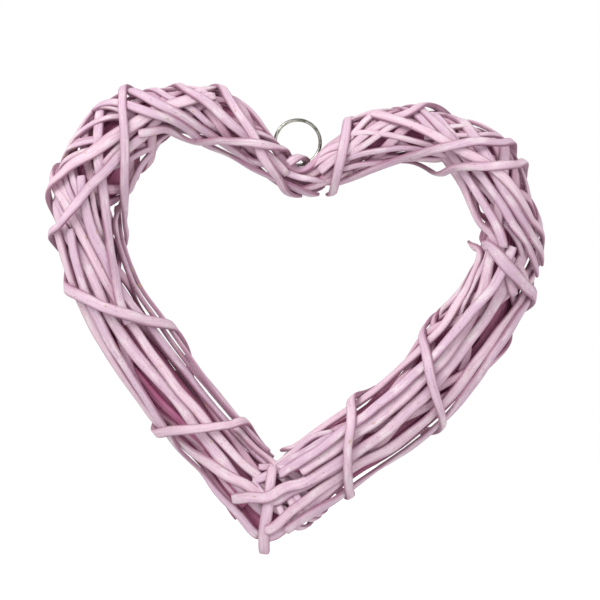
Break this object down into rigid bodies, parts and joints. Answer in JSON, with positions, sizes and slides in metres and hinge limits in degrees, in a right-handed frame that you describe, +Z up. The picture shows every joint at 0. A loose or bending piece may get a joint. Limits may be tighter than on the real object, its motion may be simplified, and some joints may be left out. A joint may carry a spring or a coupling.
{
  "type": "openwork wicker heart",
  "caption": "Heart wreath of flat painted willow strips wound into an open, hollow band round a large heart-shaped opening, hung from a small metal ring at the notch.",
  "frame": {"origin": "inside top of the hanging ring, where the hook bears", "axes": "+X to the heart's right as seen from its front, +Y to its back, +Z up as it hangs"},
  "size_m": [0.26, 0.0563, 0.2423],
  "materials": {
    "painted_willow": "chalky pale pink and lilac paint, worn to the wood in small spots",
    "ring_metal": "plain drawn steel wire, satin"
  },
  "bodies": {
    "root": {"binding_strip_1": "painted_willow", "binding_strip_2": "painted_willow", "binding_strip_3": "painted_willow", "binding_strip_4": "painted_willow", "binding_strip_5": "painted_willow", "binding_strip_6": "painted_willow", "binding_strip_7": "painted_willow", "binding_strip_8": "painted_willow", "binding_strip_9": "painted_willow", "left_front_strip_1": "painted_willow", "left_front_strip_10": "painted_willow", "left_front_strip_11": "painted_willow", "left_front_strip_12": "painted_willow", "left_front_strip_13": "painted_willow", "left_front_strip_14": "painted_willow", "left_front_strip_15": "painted_willow", "left_front_strip_2": "painted_willow", "left_front_strip_3": "painted_willow", "left_front_strip_4": "painted_willow", "left_front_strip_5": "painted_willow", "left_front_strip_6": "painted_willow", "left_front_strip_7": "painted_willow", "left_front_strip_8": "painted_willow", "left_front_strip_9": "painted_willow", "left_winding_strip_1": "painted_willow", "left_winding_strip_2": "painted_willow", "left_winding_strip_3": "painted_willow", "left_winding_strip_4": "painted_willow", "left_winding_strip_5": "painted_willow", "left_winding_strip_6": "painted_willow", "left_winding_strip_7": "painted_willow", "left_winding_strip_8": "painted_willow", "right_front_strip_1": "painted_willow", "right_front_strip_10": "painted_willow", "right_front_strip_11": "painted_willow", "right_front_strip_12": "painted_willow", "right_front_strip_2": "painted_willow", "right_front_strip_3": "painted_willow", "right_front_strip_4": "painted_willow", "right_front_strip_5": "painted_willow", "right_front_strip_6": "painted_willow", "right_front_strip_7": "painted_willow", "right_front_strip_8": "painted_willow", "right_front_strip_9": "painted_willow", "right_winding_strip_1": "painted_willow", "right_winding_strip_2": "painted_willow", "right_winding_strip_3": "painted_willow", "right_winding_strip_4": "painted_willow", "right_winding_strip_5": "painted_willow", "right_winding_strip_6": "painted_willow", "right_winding_strip_7": "painted_willow", "right_winding_strip_8": "painted_willow", "ring_tie_strip": "painted_willow", "tip_strip": "painted_willow", "hanging_ring": "ring_metal"}
  },
  "joints": []
}
